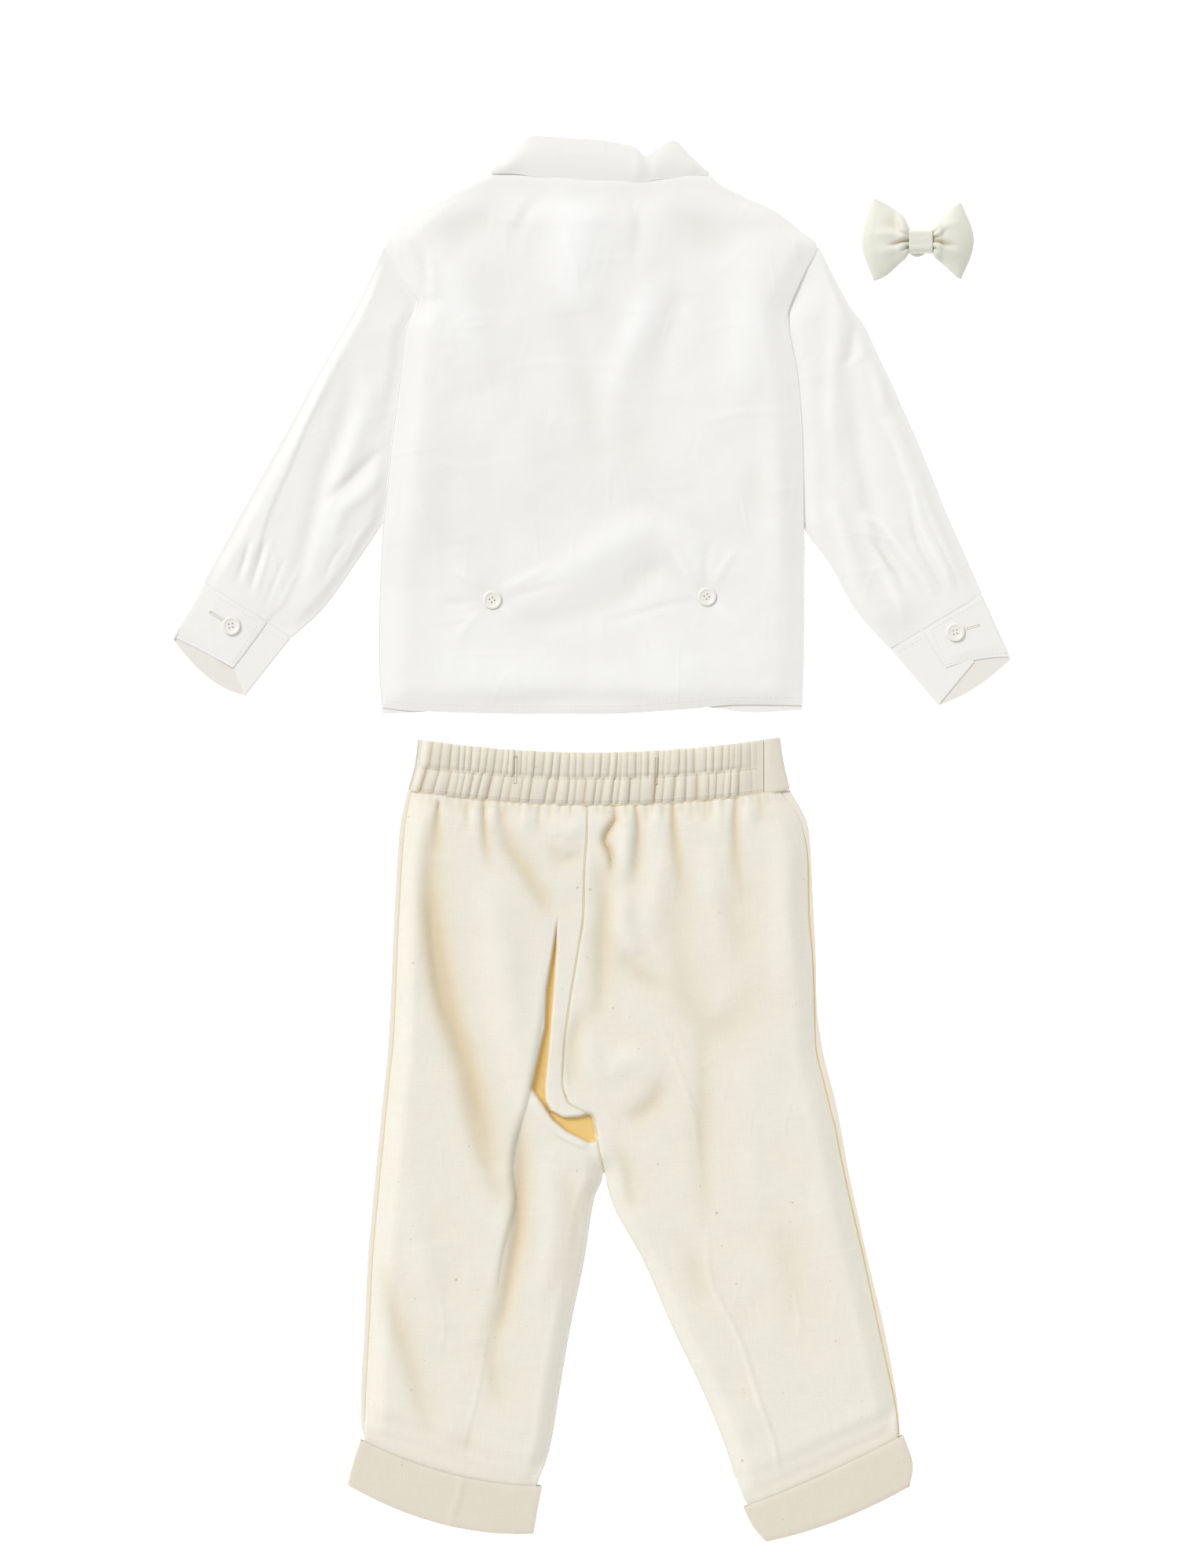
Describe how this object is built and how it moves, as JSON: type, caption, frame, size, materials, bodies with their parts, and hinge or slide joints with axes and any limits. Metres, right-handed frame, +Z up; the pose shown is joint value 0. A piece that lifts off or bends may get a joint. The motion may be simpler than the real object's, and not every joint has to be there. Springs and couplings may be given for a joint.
{
  "type": "child's shirt, trousers and bow tie set",
  "caption": "Small child's white long-sleeved shirt, cream elasticated trousers with turn-ups and ivory bow tie, laid flat and seen from the back.",
  "frame": {"origin": "on the surface that the set lies on, under the middle of its bounding box", "axes": "+X to the right as seen from above, +Y from the trouser hems to the shirt collar, +Z up out of the backs of the garments"},
  "size_m": [0.5346, 0.8944, 0.0106],
  "materials": {
    "shirt_poplin": "plain-woven white cotton poplin, faint sheen",
    "trouser_cloth": "matte cream cotton-linen with slubs",
    "bow_crepe": "soft-sheen ivory satin-backed crepe",
    "button_pearl": "polished off-white",
    "clip_plastic": "polished translucent white"
  },
  "bodies": {
    "root": {"shirt_back": "shirt_poplin", "shirt_front_left": "shirt_poplin", "shirt_front_right": "shirt_poplin", "collar": "shirt_poplin", "sleeve_left": "shirt_poplin", "sleeve_right": "shirt_poplin", "cuff_left": "shirt_poplin", "cuff_right": "shirt_poplin", "cuff_button_left": "button_pearl", "cuff_button_right": "button_pearl", "back_button_left": "button_pearl", "back_button_right": "button_pearl", "trouser_back_left": "trouser_cloth", "trouser_back_right": "trouser_cloth", "trouser_front_left": "trouser_cloth", "trouser_front_right": "trouser_cloth", "waistband_back": "trouser_cloth", "waistband_front": "trouser_cloth", "turn_up_left": "trouser_cloth", "turn_up_right": "trouser_cloth", "bow_loop_left": "bow_crepe", "bow_loop_right": "bow_crepe", "bow_knot": "bow_crepe", "bow_clip": "clip_plastic"}
  },
  "joints": []
}
